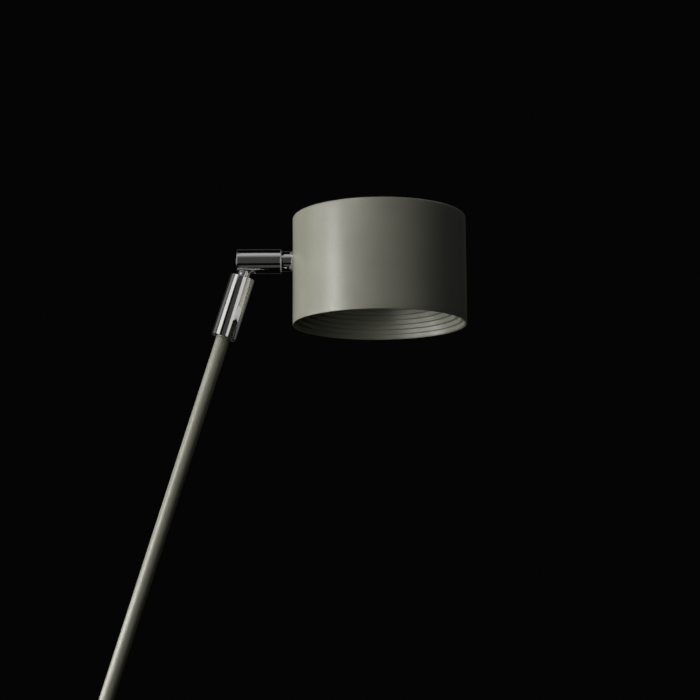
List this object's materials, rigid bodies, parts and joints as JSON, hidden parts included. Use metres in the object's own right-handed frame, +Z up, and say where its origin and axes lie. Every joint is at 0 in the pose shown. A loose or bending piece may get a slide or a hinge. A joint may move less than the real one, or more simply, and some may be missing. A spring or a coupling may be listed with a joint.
{
  "type": "adjustable arm floor lamp",
  "caption": "Slim adjustable floor lamp: disc base, vertical pole, leaning arm with chromed knuckle joints, and a cylindrical shade with a stepped anti-glare baffle.",
  "frame": {"origin": "centre of the base's underside, on the floor", "axes": "+Z up along the pole, +X from the pole towards the lamp head, Y along the tilt hinges' pins"},
  "size_m": [0.5106, 0.28, 1.3752],
  "materials": {
    "olive_steel": "olive-grey powder coat on steel, satin, finely grained",
    "olive_aluminium": "olive-grey powder coat on aluminium sheet, satin, finely grained",
    "chrome": "polished chrome plate",
    "steel": "zinc-plated steel fasteners",
    "raw_aluminium": "bare extruded or pressed aluminium",
    "black_rubber": "matt black rubber",
    "wire_insulation": "black flexible insulation over copper",
    "black_plastic": "matt black moulded plastic",
    "opal_diffuser": "opal diffuser, unlit",
    "white_board": "white solder mask with yellow-capped light sources"
  },
  "bodies": {
    "stand": {"base_plate": "olive_steel", "base_pad": "black_rubber", "cable_grommet": "black_rubber", "pole_foot": "chrome", "foot_nut": "steel", "foot_washer": "steel", "button_bezel": "chrome", "switch_module": "black_plastic", "switch_screws": "steel", "pole_tube": "olive_steel", "pole_wire": "wire_insulation", "pole_socket": "chrome", "pole_socket_screws": "steel"},
    "button": {"foot_button": "chrome"},
    "elbow_knuckle": {"elbow_tongue": "chrome", "elbow_tongue_nut": "steel"},
    "arm": {"elbow_barrel": "chrome", "elbow_pivot_screw": "steel", "elbow_friction_washers": "black_plastic", "elbow_grub_screw": "steel", "arm_tube": "olive_steel", "arm_wire": "wire_insulation", "arm_socket": "chrome", "arm_socket_screws": "steel"},
    "head_knuckle": {"head_tongue": "chrome", "head_tongue_nut": "steel"},
    "head_fork": {"head_barrel": "chrome", "head_pivot_screw": "steel", "head_friction_washers": "black_plastic", "barrel_grub_screw": "steel"},
    "head": {"swivel_oring": "black_rubber", "head_stem": "chrome", "stem_washer": "steel", "stem_nut": "steel", "shade": "olive_aluminium", "carrier_studs": "raw_aluminium", "lamp_carrier": "raw_aluminium", "carrier_nuts": "steel", "stepped_baffle": "olive_aluminium", "baffle_screws": "steel", "retaining_ring": "black_plastic", "diffuser": "opal_diffuser", "led_board": "white_board", "heat_sink": "raw_aluminium", "heat_sink_screws": "steel", "head_wire": "wire_insulation"}
  },
  "joints": [
    {"name": "foot_button_press", "type": "slide", "parent": "stand", "child": "button", "axis": [0, 0, 1], "range_m": [-0.003, 0], "stiffness_N_per_m": 600, "springref_m": 0.002},
    {"name": "elbow_turn", "type": "hinge", "parent": "stand", "child": "elbow_knuckle", "pos_m": [0, 0, 0.77], "axis": [0, 0, 1], "range_deg": [-170, 170]},
    {"name": "elbow_tilt", "type": "hinge", "parent": "elbow_knuckle", "child": "arm", "pos_m": [0, 0, 0.8], "axis": [0, 1, 0], "range_deg": [-17.3, 72.7]},
    {"name": "head_turn", "type": "hinge", "parent": "arm", "child": "head_knuckle", "pos_m": [0.15761, 0, 1.30602], "axis": [0.2974, 0, 0.9548], "range_deg": [-170, 170]},
    {"name": "head_tilt", "type": "hinge", "parent": "head_knuckle", "child": "head_fork", "pos_m": [0.16653, 0, 1.33467], "axis": [0, 1, 0], "range_deg": [-72, 24]},
    {"name": "shade_swivel", "type": "hinge", "parent": "head_fork", "child": "head", "pos_m": [0.19653, 0, 1.33467], "axis": [1, 0, 0], "range_deg": [-170, 170]}
  ]
}
